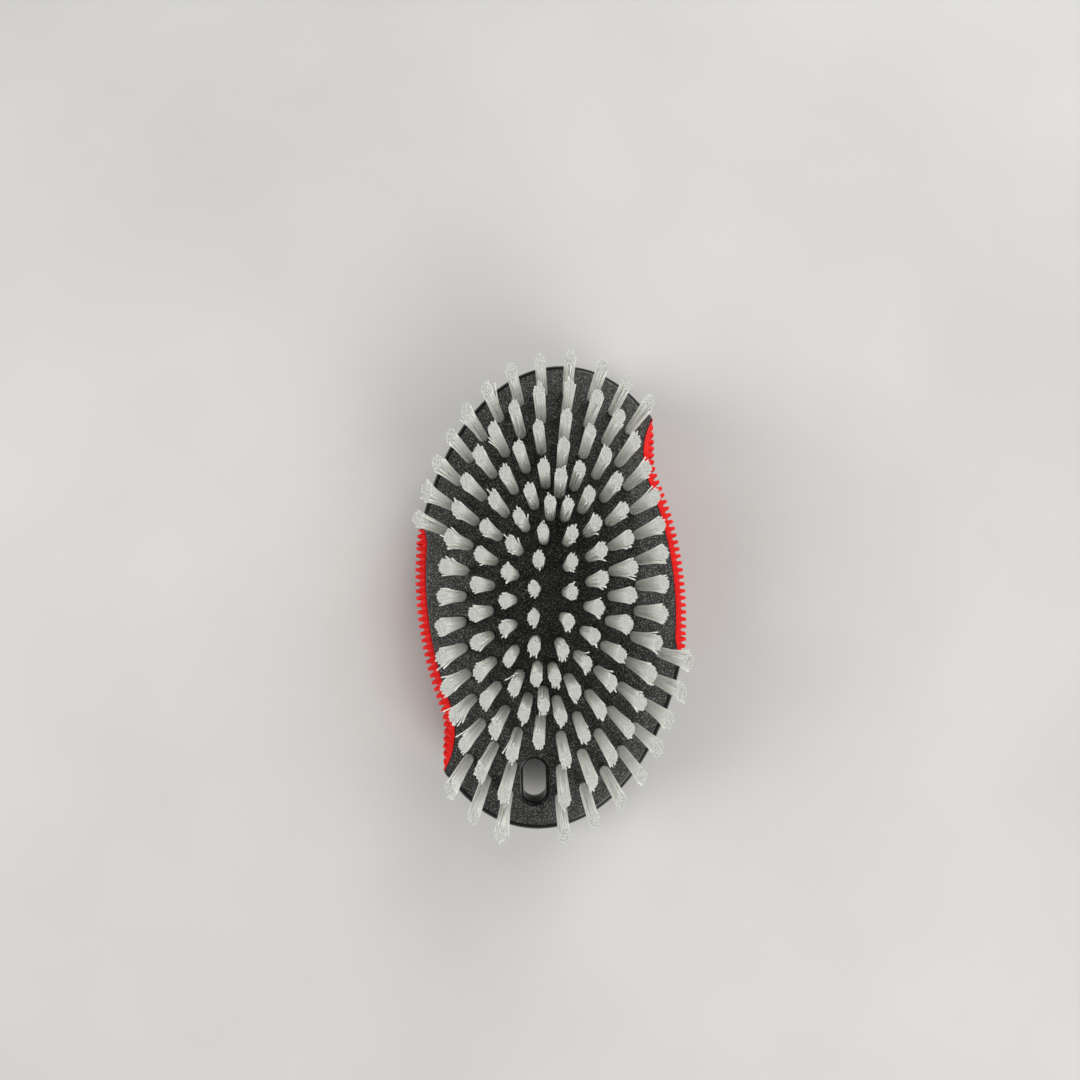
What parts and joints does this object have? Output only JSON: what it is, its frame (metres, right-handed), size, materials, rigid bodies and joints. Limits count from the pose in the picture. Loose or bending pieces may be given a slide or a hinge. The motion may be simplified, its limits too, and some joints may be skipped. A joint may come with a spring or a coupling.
{
  "type": "bristle brush",
  "caption": "Palm-held oval brush with a domed face of nylon bristle tufts, ribbed rubber side grips and a hanging slot.",
  "frame": {"origin": "centre of the flat on the back, under the middle of the body", "axes": "+Z the way the bristles point, +Y along the body away from the hanging slot, +X to the right when the bristles point at the viewer and the slot is at the bottom"},
  "size_m": [0.0658, 0.1138, 0.0374],
  "materials": {
    "shell_plastic": "black moulded plastic with a fine satin grain",
    "plate_plastic": "black moulded plastic with a fine sparkling grain",
    "grip_rubber": "bright red satin rubber",
    "bristle_nylon": "translucent white nylon with bright cut tips",
    "anchor_wire": "flat drawn wire"
  },
  "bodies": {
    "root": {"back_shell": "shell_plastic", "bristle_plate": "plate_plastic", "right_grip": "grip_rubber", "left_grip": "grip_rubber", "tufts_a_upper": "bristle_nylon", "tufts_a_lower": "bristle_nylon", "tufts_b_right": "bristle_nylon", "tufts_b_left": "bristle_nylon", "tufts_c_right": "bristle_nylon", "tufts_c_left": "bristle_nylon", "tufts_d_right": "bristle_nylon", "tufts_d_left": "bristle_nylon", "tufts_e_right": "bristle_nylon", "tufts_e_left": "bristle_nylon", "anchors_a_upper": "anchor_wire", "anchors_a_lower": "anchor_wire", "anchors_b_right": "anchor_wire", "anchors_b_left": "anchor_wire", "anchors_c_right": "anchor_wire", "anchors_c_left": "anchor_wire", "anchors_d_right": "anchor_wire", "anchors_d_left": "anchor_wire", "anchors_e_right": "anchor_wire", "anchors_e_left": "anchor_wire"}
  },
  "joints": []
}
